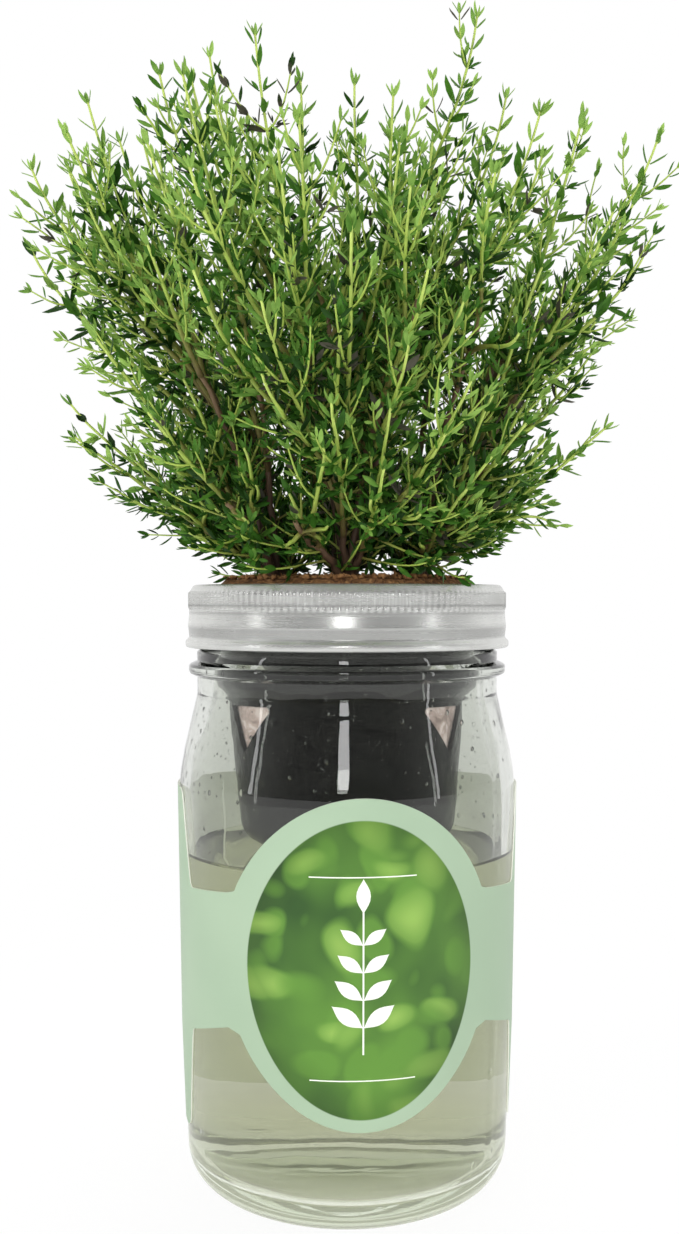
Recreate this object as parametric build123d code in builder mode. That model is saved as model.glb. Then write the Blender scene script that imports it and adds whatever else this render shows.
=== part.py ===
from build123d import *
from math import acos, cos, degrees, dist, radians, sin
import os

# Hydroponic jar planter: a wide-mouth quart jar of water, a net pot hung in its mouth under the
# screw band, felt wicks that reach down into the water, and a clump of thyme in the pot.
# Millimetres, +Z up. The origin is the middle of the jar's foot, on the surface it stands on.
# The label's oval faces -Y, turned a little towards +X.

os.makedirs("parts", exist_ok=True)

# Glass jar
jar_height = 171.4
foot_inner_radius = 30.5
foot_edge_rounding = 1.0
punt_rise = 2.4
low_radius = 46.35
heel_rounding = 12.0
belly_radius = 47.75
belly_height = 48.0
body_radius = 48.3
shoulder_drop = 51.4
shoulder_rounding = 60.0
neck_radius = 42.85
neck_drop = 28.8
neck_rounding = 4.0
bead_radius = 45.15
bead_drop = 21.8
bead_width = 4.6
bead_rounding = 1.0
finish_radius = 41.8
finish_drop = 15.9
mouth_radius = 38.2
lip_rounding = 1.2
jar_wall = 3.1
floor_height = 7.6
floor_rounding = 10.0

# Paper label sleeve
paper_thickness = 0.3
paper_gap = 0.1
oval_width = 71.6
oval_height = 87.8
oval_centre_height = 74.9
arm_bottom_height = 44.5
arm_top_height = 86.5
panel_bottom_height = 20.0
panel_top_height = 117.0
panel_arm_set_back = -18.2
panel_top_set_back = -12.1
panel_bottom_set_back = -13.0
panel_corner_rounding = 4.0
label_turn_degrees = 5.0

# Screw band
band_sheet = 0.45
band_opening_radius = 38.0
band_inner_radius = 44.45
band_outer_radius = 45.3
band_groove_radius = 44.95
band_length = 17.5
band_top_rounding = 1.2
hem_radius = 46.05
hem_height = 1.8
hem_rounding = 0.8
flute_count = 150
flute_depth = 0.3
flute_top_drop = 2.3
flute_height = 4.4
groove_drop = 8.4
swell_drop = 11.4
waist_drop = 14.6
groove_rounding = 0.8

# Net pot
flange_radius = 42.5
flange_thickness = 1.25
pot_wall = 1.3
pot_neck_radius = 37.5
pot_neck_drop = 25.9
pot_body_radius = 33.6
pot_step_height = 3.9
pot_low_radius = 30.5
pot_depth = 71.6
pot_bottom_rounding = 7.0
pot_step_rounding = 1.5
window_angle_degrees = 52.0
window_width = 20.0
window_height = 13.5
window_point_share = 0.72
window_rounding = 1.0
wick_slot_length = 25.0
wick_slot_width = 5.6
drain_slot_count = 8
drain_slot_length = 10.0
drain_slot_width = 2.6
drain_slot_radius = 21.0

# Felt wicks
felt_thickness = 1.8
felt_gap = 0.1
wick_half_angle_degrees = 62.0
tail_width = 22.0
tail_spacing = 0.6
tail_end_height = 34.0

# Growing medium
soil_rise = 1.5
soil_edge_drop = 1.6

# Thyme
outer_plant_count = 6
plant_ring_radius = 20.0
taproot_depth = 26.0
taproot_tip_radius = 0.9
crown_radius = 3.4
crown_height = 3.6
crown_sides = 8
crown_spread = 1.7
stem_radius = 1.15
twig_radius = 0.8
leaf_points = 4
sprig_radius = 5.4
whorl_pitch = 20.0
least_whorls = 2
crest_shoot_length = 163.0
shoot_length = 150.0
rim_shoot_length = 50.0
rim_rise = 7.0
shoot_spacing = 0.5
shoot_count = 70
candidate_count = 1200
upright_angle_degrees = 36.0
widest_angle_degrees = 80.0
centre_angle_degrees = 27.0
corner_angle_degrees = 45.0
crest_angle_degrees = 12.0

# Where a shoot's bare stem ends and its leaves begin, and how far out and up it bends
leaf_start_share = 0.36
bend_out_share = 0.40
bend_up_share = 0.58
# For one whorl of leaves: the share of its length where it is widest, the radius it draws in to
# between whorls and at the tip, and the radius between two leaves, as shares of the widest
whorl_peak_share = 0.68
narrow_share = 0.34
tip_share = 0.14
between_leaves_share = 0.42
# How full the lowest whorl is, and how much the last one has faded
base_fullness_share = 0.36
tip_fade_share = 0.45
# Shortest and longest of the other shoots, set against the leading ones that reach furthest
least_length_share = 0.60
most_length_share = 0.96

# One overrun for every cut that runs clear of its piece
overrun = 5.0


def section(corners, turn_degrees=0.0):
    """A closed section beside the Z axis, through corners given as (radius, height, rounding)."""
    turn = radians(turn_degrees)
    plane = Plane(
        origin=(0, 0, 0),
        x_dir=(cos(turn), sin(turn), 0),
        z_dir=(sin(turn), -cos(turn), 0),
    )
    with BuildSketch(plane) as outline:
        with BuildLine():
            Polyline(*[(radius, height) for radius, height, _ in corners], close=True)
        make_face()
        for radius, height, rounding in corners:
            if rounding:
                corner = outline.vertices().sort_by_distance((radius, height))[0]
                fillet(corner, rounding)
    return outline.sketch


def star_corners(peak_radius, valley_radius, peaks):
    """Corners of a star with straight sides, as (x, y), its first peak on the X axis."""
    corners = []
    for peak in range(peaks):
        for radius, turn in ((peak_radius, peak), (valley_radius, peak + 1 / 2)):
            angle = radians(360 * turn / peaks)
            corners.append((radius * cos(angle), radius * sin(angle)))
    return corners


# Heights that follow the jar's own height
shoulder_height = jar_height - shoulder_drop
neck_height = jar_height - neck_drop
bead_height = jar_height - bead_drop
finish_height = jar_height - finish_drop
flange_top_height = jar_height + flange_thickness
band_top_height = flange_top_height + band_sheet
band_bottom_height = band_top_height - band_length
pot_neck_height = jar_height - pot_neck_drop
pot_body_height = pot_neck_height - pot_step_height
pot_bottom_height = jar_height - pot_depth
soil_height = band_top_height + soil_rise


def side_radius(height):
    """Radius of the jar's outer side at a height between its heel and its shoulder."""
    if height < belly_height:
        return low_radius + (belly_radius - low_radius) * height / belly_height
    climb = (height - belly_height) / (shoulder_height - belly_height)
    return belly_radius + (body_radius - belly_radius) * climb


# Glass jar, one wall all round, with a raised middle under its thick floor
bead_bottom = bead_height - bead_width / 2
bead_top = bead_height + bead_width / 2
bead_flat = bead_width / 4
jar_corners = [
    (0, punt_rise, 0),
    (foot_inner_radius, 0, foot_edge_rounding),
    (low_radius, 0, heel_rounding),
    (belly_radius, belly_height, 0),
    (body_radius, shoulder_height, shoulder_rounding),
    (neck_radius, neck_height, neck_rounding),
    (neck_radius, bead_bottom, 0),
    (bead_radius, bead_height - bead_flat, bead_rounding),
    (bead_radius, bead_height + bead_flat, bead_rounding),
    (neck_radius, bead_top, 0),
    (neck_radius, finish_height - lip_rounding, 0),
    (finish_radius, finish_height, 0),
    (finish_radius, jar_height, lip_rounding),
    (mouth_radius, jar_height, lip_rounding),
    (mouth_radius, neck_height, neck_rounding),
    (body_radius - jar_wall, shoulder_height, shoulder_rounding - jar_wall),
    (low_radius - jar_wall, floor_height, floor_rounding),
    (0, floor_height, 0),
]
with BuildPart() as glass_jar:
    revolve(section(jar_corners), axis=Axis.Z)
glass_jar.part.label = "glass_jar"
export_step(glass_jar.part, "parts/glass_jar.step")

# Paper label sleeve: a sheet round the jar, kept only where the oval, the arms and the panel are
label_top_height = oval_centre_height + oval_height / 2
paper_inner = [
    (side_radius(height) + paper_gap, height)
    for height in (panel_bottom_height, belly_height, label_top_height)
]
paper_corners = [(radius, height, 0) for radius, height in paper_inner]
paper_corners += [(radius + paper_thickness, height, 0) for radius, height in reversed(paper_inner)]
paper_reach = body_radius + overrun
label_turn = radians(label_turn_degrees)
label_out = (sin(label_turn), -cos(label_turn), 0)
label_across = (cos(label_turn), sin(label_turn), 0)
label_back = (-sin(label_turn), cos(label_turn), 0)
with BuildPart() as label_stencil:
    with BuildSketch(Plane(origin=(0, 0, oval_centre_height), x_dir=label_across, z_dir=label_out)):
        Ellipse(oval_width / 2, oval_height / 2)
    extrude(amount=paper_reach)
    with BuildSketch(Plane.XY.offset(arm_bottom_height)):
        Circle(paper_reach)
    extrude(amount=arm_top_height - arm_bottom_height)
    with BuildSketch(Plane(origin=(0, 0, 0), x_dir=label_back, z_dir=label_across)) as panel_side:
        with BuildLine():
            Polyline(
                (panel_arm_set_back, arm_bottom_height),
                (panel_arm_set_back, arm_top_height),
                (panel_top_set_back, panel_top_height),
                (paper_reach, panel_top_height),
                (paper_reach, panel_bottom_height),
                (panel_bottom_set_back, panel_bottom_height),
                close=True,
            )
        make_face()
        for corner in (
            (panel_top_set_back, panel_top_height),
            (panel_bottom_set_back, panel_bottom_height),
        ):
            fillet(panel_side.vertices().sort_by_distance(corner)[0], panel_corner_rounding)
    extrude(amount=paper_reach, both=True)
with BuildPart() as label_sleeve:
    revolve(section(paper_corners), axis=Axis.Z)
    add(label_stencil.part, mode=Mode.INTERSECT)
label_sleeve.part.label = "label_sleeve"
export_step(label_sleeve.part, "parts/label_sleeve.step")

# Screw band: pressed sheet with a flat top, a ring of upright flutes and a rolled hem
band_shoulder_radius = band_outer_radius - flute_top_drop + flute_depth * 2
flute_bottom_height = band_top_height - flute_top_drop - flute_height
band_corners = [
    (band_opening_radius, band_top_height, 0),
    (band_shoulder_radius, band_top_height, band_top_rounding),
    (band_groove_radius, band_top_height - flute_top_drop, 0),
    (band_groove_radius, band_top_height - groove_drop, groove_rounding),
    (band_outer_radius, band_top_height - swell_drop, groove_rounding),
    (band_groove_radius, band_top_height - waist_drop, groove_rounding),
    (hem_radius, band_bottom_height + hem_height, hem_rounding),
    (hem_radius, band_bottom_height, hem_rounding),
    (band_inner_radius, band_bottom_height, 0),
    (band_inner_radius, band_top_height - flute_top_drop, 0),
    (band_shoulder_radius - band_sheet, flange_top_height, 0),
    (band_opening_radius, flange_top_height, 0),
]
with BuildPart() as screw_band:
    revolve(section(band_corners), axis=Axis.Z)
    with BuildSketch(Plane.XY.offset(flute_bottom_height)):
        with BuildLine():
            flute_peak_radius = band_outer_radius + flute_depth / 2
            Polyline(*star_corners(flute_peak_radius, flute_peak_radius - flute_depth, flute_count), close=True)
        make_face()
        Circle((band_inner_radius + band_groove_radius) / 2, mode=Mode.SUBTRACT)
    extrude(amount=flute_height)
screw_band.part.label = "screw_band"
export_step(screw_band.part, "parts/screw_band.step")

# Net pot: hung by its flange, stepped in below the jar's neck, open at windows and floor slots
pot_floor_height = pot_bottom_height + pot_wall
pot_inner_rounding = pot_bottom_rounding - pot_wall
pot_neck_inner_radius = pot_neck_radius - pot_wall
pot_body_inner_radius = pot_body_radius - pot_wall
pot_low_inner_radius = pot_low_radius - pot_wall
pot_corners = [
    (0, pot_bottom_height, 0),
    (pot_low_radius, pot_bottom_height, pot_bottom_rounding),
    (pot_body_radius, pot_body_height, pot_step_rounding),
    (pot_neck_radius, pot_neck_height, pot_step_rounding),
    (pot_neck_radius, jar_height, 0),
    (flange_radius, jar_height, 0),
    (flange_radius, flange_top_height, 0),
    (pot_neck_inner_radius, flange_top_height, 0),
    (pot_neck_inner_radius, pot_neck_height, pot_step_rounding),
    (pot_body_inner_radius, pot_body_height, pot_step_rounding),
    (pot_low_inner_radius, pot_floor_height, pot_inner_rounding),
    (0, pot_floor_height, 0),
]
window_top_height = pot_body_height - pot_step_rounding
with BuildPart() as net_pot:
    revolve(section(pot_corners), axis=Axis.Z)
    for side in (-1, 1):
        for facing in (-1, 1):
            angle = radians(window_angle_degrees)
            outward = (side * sin(angle), facing * cos(angle), 0)
            across = (side * cos(angle), -facing * sin(angle), 0)
            with BuildSketch(Plane(origin=(0, 0, 0), x_dir=across, z_dir=outward)) as window:
                upright = window.workplanes[0].y_dir.Z
                with BuildLine():
                    Polyline(
                        (-window_width / 2, upright * window_top_height),
                        (window_width / 2, upright * window_top_height),
                        (
                            window_width * (window_point_share - 1 / 2),
                            upright * (window_top_height - window_height),
                        ),
                        close=True,
                    )
                make_face()
                fillet(window.vertices(), window_rounding)
            extrude(amount=pot_neck_radius, mode=Mode.SUBTRACT)
    with BuildSketch(Plane.XY.offset(pot_bottom_height)):
        SlotOverall(wick_slot_length, wick_slot_width, rotation=90)
        with PolarLocations(drain_slot_radius, drain_slot_count, start_angle=180 / drain_slot_count):
            SlotOverall(drain_slot_length, drain_slot_width)
    extrude(amount=pot_wall, mode=Mode.SUBTRACT)
net_pot.part.label = "net_pot"
export_step(net_pot.part, "parts/net_pot.step")

# Felt wicks: each lines one side of the pot and runs down through the slot as a flat tail
felt_bottom = pot_floor_height + felt_gap
felt_top = window_top_height
felt_climb_share = (felt_top - pot_floor_height) / (pot_body_height - pot_floor_height)
felt_low_radius = pot_low_inner_radius - felt_gap
felt_top_radius = felt_low_radius + (pot_body_inner_radius - pot_low_inner_radius) * felt_climb_share
wick_corners = [
    (tail_spacing / 2, felt_bottom, 0),
    (felt_low_radius, felt_bottom, pot_inner_rounding),
    (felt_top_radius, felt_top, 0),
    (felt_top_radius - felt_thickness, felt_top, 0),
    (felt_low_radius - felt_thickness, felt_bottom + felt_thickness, pot_inner_rounding - felt_thickness),
    (tail_spacing / 2, felt_bottom + felt_thickness, 0),
]
with BuildPart() as wick_right:
    revolve(
        section(wick_corners, -wick_half_angle_degrees),
        axis=Axis.Z,
        revolution_arc=2 * wick_half_angle_degrees,
    )
    with BuildSketch(Plane.XY.offset(tail_end_height)):
        with Locations(((tail_spacing + felt_thickness) / 2, 0)):
            Rectangle(felt_thickness, tail_width)
    extrude(amount=felt_bottom + felt_thickness - tail_end_height)
wick_right.part.label = "wick_right"
export_step(wick_right.part, "parts/wick_right.step")

with BuildPart() as wick_left:
    mirror(wick_right.part, about=Plane.YZ)
wick_left.part.label = "wick_left"
export_step(wick_left.part, "parts/wick_left.step")

def flat_sided_solid(loops):
    """A closed solid through loops of corners that lie in parallel planes and have one shape."""
    faces = [Face(Wire.make_polygon(loops[0])), Face(Wire.make_polygon(loops[-1]))]
    for lower, upper in zip(loops, loops[1:]):
        for corner in range(len(lower)):
            following = (corner + 1) % len(lower)
            side = [lower[corner], lower[following], upper[following], upper[corner]]
            faces.append(Face(Wire.make_polygon(side)))
    return Solid(Shell(faces))


# Where the plants stand: one in the middle and a ring round it
plant_places = [(0, 0)]
for plant in range(outer_plant_count):
    angle = radians(360 * (plant + 1 / 2) / outer_plant_count)
    plant_places.append((plant_ring_radius * cos(angle), plant_ring_radius * sin(angle)))


def taproot(place):
    """A plant's taproot and crown, a many-sided peg that widens to the soil's surface."""
    loops = []
    for height, radius in (
        (-taproot_depth, taproot_tip_radius),
        (0, crown_radius),
        (crown_height, crown_radius - stem_radius),
    ):
        level = Plane.XY.offset(soil_height + height)
        corners = star_corners(radius, radius, crown_sides // 2)
        loops.append([level.from_local_coords((place[0] + x, place[1] + y)) for x, y in corners])
    return flat_sided_solid(loops)


# Growing medium: fills the pot inside the felt, sloped at its edge, with a socket for each taproot
soil_bottom_height = felt_bottom + felt_thickness + felt_gap
soil_low_radius = felt_low_radius - felt_thickness - felt_gap
soil_low_rounding = pot_inner_rounding - felt_thickness - felt_gap
soil_edge_radius = pot_neck_inner_radius - felt_gap
soil_corners = [
    (0, soil_bottom_height, 0),
    (soil_low_radius, soil_bottom_height, soil_low_rounding),
    (felt_top_radius - felt_thickness - felt_gap, felt_top + felt_gap, 0),
    (pot_body_inner_radius - felt_gap, pot_body_height, 0),
    (soil_edge_radius, pot_neck_height, pot_step_rounding),
    (soil_edge_radius, soil_height - soil_edge_drop, 0),
    (soil_edge_radius - soil_edge_drop, soil_height, 0),
    (0, soil_height, 0),
]
with BuildPart() as growing_medium:
    revolve(section(soil_corners), axis=Axis.Z)
    for place in plant_places:
        add(taproot(place), mode=Mode.SUBTRACT)
growing_medium.part.label = "growing_medium"
export_step(growing_medium.part, "parts/growing_medium.step")


def shoot_reach(polar_degrees):
    """How far from the clump's middle a shoot reaches, by its lean from upright."""
    if polar_degrees < upright_angle_degrees:
        return crest_shoot_length + (shoot_length - crest_shoot_length) * polar_degrees / upright_angle_degrees
    lean = (polar_degrees - upright_angle_degrees) / (widest_angle_degrees - upright_angle_degrees)
    return shoot_length + (rim_shoot_length - shoot_length) * lean


def plant_of(polar_degrees, azimuth_degrees):
    """Number of the plant that a shoot with this lean and direction grows from."""
    if polar_degrees < centre_angle_degrees:
        return 0
    return 1 + int(azimuth_degrees % 360 / 360 * outer_plant_count)


def grow_route(polar_degrees, azimuth_degrees, length_share):
    """A shoot's plant and its route, as the three points of a parabola from crown to tip."""
    polar = radians(polar_degrees)
    azimuth = radians(azimuth_degrees)
    plant = plant_of(polar_degrees, azimuth_degrees)
    reach = shoot_reach(polar_degrees) * length_share
    tip = (
        reach * sin(polar) * cos(azimuth),
        reach * sin(polar) * sin(azimuth),
        soil_height + reach * cos(polar),
    )
    base = (
        plant_places[plant][0] + crown_spread * cos(azimuth),
        plant_places[plant][1] + crown_spread * sin(azimuth),
        soil_height + crown_height / 2,
    )
    bend = (
        base[0] + (tip[0] - base[0]) * bend_out_share,
        base[1] + (tip[1] - base[1]) * bend_out_share,
        base[2] + (tip[2] - base[2]) * bend_up_share + rim_rise * sin(polar),
    )
    return plant, (base, bend, tip)


def between(start, end, share):
    """Place at a share of the straight way from one place to another."""
    return tuple(here + (there - here) * share for here, there in zip(start, end))


def along(route, share):
    """Place on a route at a share of the way from its base."""
    base, bend, tip = route
    return between(between(base, bend, share), between(bend, tip, share), share)


def fullness(leafy_share):
    """Radius of a sprig's widest leaves at a share of the way along its leafy part."""
    grown = min(1, base_fullness_share + leafy_share)
    return sprig_radius * grown * (1 - tip_fade_share * leafy_share**2)


def room_needed(route):
    """Balls that a shoot fills, as (place, radius, whether its stem is bare there)."""
    balls = []
    for share in step_shares:
        bare = share < leaf_start_share
        leafy_share = (share - leaf_start_share) / (1 - leaf_start_share)
        radius = stem_radius if bare else fullness(leafy_share)
        balls.append((along(route, share), radius, bare))
    return balls


def has_room(plant, balls, grown):
    """Whether a new shoot keeps clear of the grown ones, bare stems of its own plant apart."""
    for other_plant, other_balls in grown:
        for place, radius, bare in balls:
            for other_place, other_radius, other_bare in other_balls:
                if bare and other_bare and plant == other_plant:
                    continue
                if dist(place, other_place) < radius + other_radius + shoot_spacing:
                    return False
    return True


# Every shoot's route: the leading ones, one to each side and one to the top, and then evenly
# spread candidates that have room
step_count = 16
step_shares = [step / step_count for step in range(step_count + 1)]
shoots = [grow_route(corner_angle_degrees, quarter * 90, 1) for quarter in range(4)]
shoots.append(grow_route(crest_angle_degrees, 0, 1))
filled = [(plant, room_needed(route)) for plant, route in shoots]
least_cosine = cos(radians(widest_angle_degrees))
spread_step_share = 0.7548776662
turn_step_share = 0.5698402910
length_step_share = 0.6180339887
for candidate in range(candidate_count):
    spread = (candidate * spread_step_share + 1 / 2) % 1
    polar_degrees = degrees(acos(1 - spread * (1 - least_cosine)))
    azimuth_degrees = 360 * ((candidate * turn_step_share + 1 / 2) % 1)
    length_part = candidate * length_step_share % 1
    length_share = least_length_share + (most_length_share - least_length_share) * length_part
    plant, route = grow_route(polar_degrees, azimuth_degrees, length_share)
    balls = room_needed(route)
    if len(shoots) < shoot_count and has_room(plant, balls, filled):
        shoots.append((plant, route))
        filled.append((plant, balls))


def shoot_solid(route, rings):
    """A solid through parallel rings, given as (share of the way along the route, radius).

    Each ring is a star with a point for each leaf of its whorl. The rings all face along the
    shoot's chord, so that every side is flat.
    """
    base, _, tip = route
    chord = Vector(tip) - Vector(base)
    side = Vector(base[1] - tip[1], tip[0] - base[0], 0)
    loops = []
    for share, radius in rings:
        plane = Plane(origin=along(route, share), x_dir=side, z_dir=chord)
        corners = star_corners(radius, between_leaves_share * radius, leaf_points)
        loops.append([plane.from_local_coords(corner) for corner in corners])
    return flat_sided_solid(loops)


def sprig_rings(route):
    """Rings of a leafy sprig: each whorl opens upwards and draws in again, down to the tip."""
    leafy_length = dist(along(route, leaf_start_share), route[2])
    whorls = max(least_whorls, round(leafy_length / whorl_pitch))
    leafy = (1 - leaf_start_share) / whorls
    rings = [(leaf_start_share, twig_radius)]
    for whorl in range(whorls):
        start = leaf_start_share + whorl * leafy
        widest = fullness((whorl + whorl_peak_share) / whorls)
        drawn_in = tip_share if whorl == whorls - 1 else narrow_share
        rings.append((start + leafy * whorl_peak_share, widest))
        rings.append((start + leafy, widest * drawn_in))
    return rings


stem_rings = [(0, stem_radius), (leaf_start_share / 2, stem_radius), (leaf_start_share, twig_radius)]

# Thyme plants: woody stems fused to their crown, and the leafy sprigs that carry on from them
for number, place in enumerate(plant_places):
    routes = [route for plant, route in shoots if plant == number]
    with BuildPart() as plant_stems:
        add([taproot(place)] + [shoot_solid(route, stem_rings) for route in routes])
    stems_name = f"thyme_{number + 1}_stems"
    plant_stems.part.label = stems_name
    export_step(plant_stems.part, f"parts/{stems_name}.step")
    with BuildPart() as plant_leaves:
        add([shoot_solid(route, sprig_rings(route)) for route in routes])
    leaves_name = f"thyme_{number + 1}_leaves"
    plant_leaves.part.label = leaves_name
    export_step(plant_leaves.part, f"parts/{leaves_name}.step")
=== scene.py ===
import bmesh
import bpy
import math
import numpy as np
from mathutils import Matrix, Vector


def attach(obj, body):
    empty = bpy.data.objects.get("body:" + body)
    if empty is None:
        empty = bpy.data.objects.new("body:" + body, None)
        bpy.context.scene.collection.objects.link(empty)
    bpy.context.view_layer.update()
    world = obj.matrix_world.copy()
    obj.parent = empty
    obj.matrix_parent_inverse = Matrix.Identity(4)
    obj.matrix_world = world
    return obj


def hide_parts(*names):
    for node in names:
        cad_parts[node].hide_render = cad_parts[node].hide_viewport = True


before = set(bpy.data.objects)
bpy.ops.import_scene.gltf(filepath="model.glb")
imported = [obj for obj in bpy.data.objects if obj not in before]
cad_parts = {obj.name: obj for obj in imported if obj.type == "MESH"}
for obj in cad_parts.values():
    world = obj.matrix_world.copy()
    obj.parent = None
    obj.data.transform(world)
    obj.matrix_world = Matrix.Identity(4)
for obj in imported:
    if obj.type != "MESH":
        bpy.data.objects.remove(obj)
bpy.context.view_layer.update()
mm = 0.001
print("frame loaded")


# selecting and shaping

def select(*pieces):  # and make the first one active
    bpy.ops.object.select_all(action="DESELECT")
    for piece in pieces:
        piece.select_set(True)
    bpy.context.view_layer.objects.active = pieces[0]


def startEdit(piece=None):  # with everything selected
    if piece:
        select(piece)
    bpy.ops.object.mode_set(mode="EDIT")
    bpy.ops.mesh.select_all(action="SELECT")


def endEdit():
    bpy.ops.object.mode_set(mode="OBJECT")


def endClean(doubles=0):  # merge doubles, turn normals outward and leave edit mode
    bpy.ops.mesh.select_all(action="SELECT")
    if doubles:
        bpy.ops.mesh.remove_doubles(threshold=doubles)
    bpy.ops.mesh.normals_make_consistent(inside=False)
    endEdit()


def pickVerts(test):  # in edit mode: only the vertices that pass, and what lies between them
    mesh = bpy.context.object.data
    bpy.ops.mesh.select_mode(type="VERT")
    bpy.ops.mesh.select_all(action="DESELECT")
    bm = bmesh.from_edit_mesh(mesh)
    for vert in bm.verts:
        if test(vert.co):
            vert.select_set(True)
    bm.select_flush_mode()
    bmesh.update_edit_mesh(mesh)


def outlinePoints(corners, arcStep=12, runStep=4):
    # (radius, height, rounding) corners in mm to points, with the roundings as arcs
    points = []
    for number, (radius, height, rounding) in enumerate(corners):
        here = Vector((radius, height))
        if not rounding:
            points.append(here)
            continue
        before = Vector(corners[number - 1][:2]) - here
        after = Vector(corners[(number + 1) % len(corners)][:2]) - here
        angle = before.angle(after)
        centre = here + (before.normalized() + after.normalized()).normalized() * rounding / math.sin(angle / 2)
        start = here + before.normalized() * rounding / math.tan(angle / 2) - centre
        turn = math.pi - angle
        if start.x * (here - centre).y - start.y * (here - centre).x < 0:
            turn = -turn
        steps = max(2, math.ceil(abs(math.degrees(turn)) / arcStep))
        for step in range(steps + 1):
            a = turn * step / steps
            points.append(centre + Vector((start.x * math.cos(a) - start.y * math.sin(a),
                                           start.x * math.sin(a) + start.y * math.cos(a))))
    runs = [points[0]]
    for point in points[1:]:
        parts = max(1, math.ceil((point - runs[-1]).length / runStep))
        start = runs[-1]
        if (point - start).length < 0.01:
            continue
        for part in range(parts):
            runs.append(start.lerp(point, (part + 1) / parts))
    return runs


def addPrimitive(kind, **settings):
    getattr(bpy.ops.mesh, f"primitive_{kind}_add")(**settings)
    return bpy.context.object


def turnRings(name, points, around, hollow=False):
    # a circle at the first point, extruded and resized from ring to ring
    radius, height = points[0]
    piece = addPrimitive("circle", vertices=around, radius=radius * mm, location=(0, 0, height * mm),
                         fill_type="NOTHING" if hollow else "TRIFAN")
    piece.name = name
    bpy.ops.object.transform_apply()
    startEdit()
    pickVerts(lambda co: co.xy.length > 1e-6)
    for point in points[1:]:
        bpy.ops.mesh.extrude_region_move(
            TRANSFORM_OT_translate={"value": (0, 0, (point.y - height) * mm)})
        size = point.x / radius
        bpy.ops.transform.resize(value=(size, size, 1), center_override=(0, 0, point.y * mm))
        radius, height = point
    if not hollow:
        bpy.ops.mesh.extrude_region_move()
        bpy.ops.mesh.merge(type="CENTER")
    endClean(0.000004)
    return piece


def smooth(piece, degrees):
    select(piece)
    bpy.ops.object.shade_smooth_by_angle(angle=math.radians(degrees))


def applyModifier(piece, kind, **settings):
    select(piece)
    modifier = piece.modifiers.new("shape", kind)
    for name, value in settings.items():
        setattr(modifier, name, value)
    bpy.ops.object.modifier_apply(modifier="shape")


def roughen(piece, waves, test=None, detail=2):
    # soft noises, each of a size and a strength in mm, over the surface or the vertices that pass
    settings = {"texture_coords": "LOCAL", "mid_level": 0.5}
    if test:
        group = piece.vertex_groups.new(name="rough")
        group.add([v.index for v in piece.data.vertices if test(v.co)], 1, "REPLACE")
        settings["vertex_group"] = group.name
    for size, strength in waves:
        texture = bpy.data.textures.new(piece.name + "Noise", "CLOUDS")
        texture.noise_scale = size * mm
        texture.noise_depth = detail
        applyModifier(piece, "DISPLACE", texture=texture, strength=strength * mm, **settings)


def addObject(name, data):
    piece = bpy.data.objects.new(name, data)
    bpy.context.collection.objects.link(piece)
    return piece


def meshPiece(name, verts, faces, tones):  # verts in mm; tones may be empty
    mesh = bpy.data.meshes.new(name)
    mesh.from_pydata((np.array(verts) * mm).tolist(), [], faces)
    if tones:
        layer = mesh.attributes.new("tone", "FLOAT", "POINT")
        layer.data.foreach_set("value", np.array(tones, np.float32))
    mesh.shade_smooth()
    return addObject(name, mesh)


def copiesOf(name, shapes, copies):
    # one mesh of copies, each given by a 4x4 matrix in mm, a shape's number and, if it has one, its tone
    verts, faces, tones, count = [], [], [], 0
    for number, shape in enumerate(shapes):
        co = np.array([v.co for v in shape.data.vertices])
        flat = [list(p.vertices) for p in shape.data.polygons]
        for place, pick, *tone in copies:
            if pick != number:
                continue
            verts.append(co @ place[:3, :3].T + place[:3, 3])
            faces.extend([[i + count for i in face] for face in flat])
            tones.extend(tone * len(co))
            count += len(co)
    return meshPiece(name, np.concatenate(verts), faces, tones)


def placeAt(spot, along, across, up, sizes):
    place = np.eye(4)
    for column, (axis, size) in enumerate(zip((across, along, up), sizes)):
        place[:3, column] = np.array(axis) * size
    place[:3, 3] = spot
    return place


def joinPieces(*pieces):  # into the first
    select(*pieces)
    bpy.ops.object.join()
    return pieces[0]


def dropShapes(*shapes):
    for shape in shapes:
        bpy.data.objects.remove(shape)


# materials

def tint(red, green, blue):  # a colour as it looks on screen, made linear
    parts = [part / 255 for part in (red, green, blue)]
    return [p / 12.92 if p <= 0.04045 else ((p + 0.055) / 1.055) ** 2.4 for p in parts] + [1]


def grey(level):
    return (level, level, level, 1)


def feed(socket, value):  # with a value, or with the output of another node
    if isinstance(value, bpy.types.NodeSocket):
        socket.id_data.links.new(value, socket)
    else:
        socket.default_value = value


def feedInOrder(node, *values):
    for socket, value in zip(node.inputs, values):
        feed(socket, value)
    return node


def setSockets(node, **sockets):
    for name, value in sockets.items():
        feed(node.inputs[name.replace("_", " ")], value)
    return node


def newMaterial(name, **sockets):
    material = bpy.data.materials.new(name)
    material.use_nodes = True
    tree = material.node_tree
    return material, tree, setSockets(tree.nodes["Principled BSDF"], **sockets)


def addNode(tree, kind, settings=None, **sockets):
    node = tree.nodes.new("ShaderNode" + kind)
    for name, value in (settings or {}).items():
        setattr(node, name, value)
    return setSockets(node, **sockets)


def placedCoords(tree, scale=(1, 1, 1), turn=(0, 0, 0), move=(0, 0, 0), source=None):
    source = source or addNode(tree, "TexCoord").outputs["Object"]
    return addNode(tree, "Mapping", Vector=source, Scale=scale, Rotation=turn, Location=move).outputs[0]


def addNoise(tree, vector, scale, detail=3, roughness=0.5, distortion=0, output="Fac"):
    return addNode(tree, "TexNoise", Vector=vector, Scale=scale, Detail=detail, Roughness=roughness,
                   Distortion=distortion).outputs[output]


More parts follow.
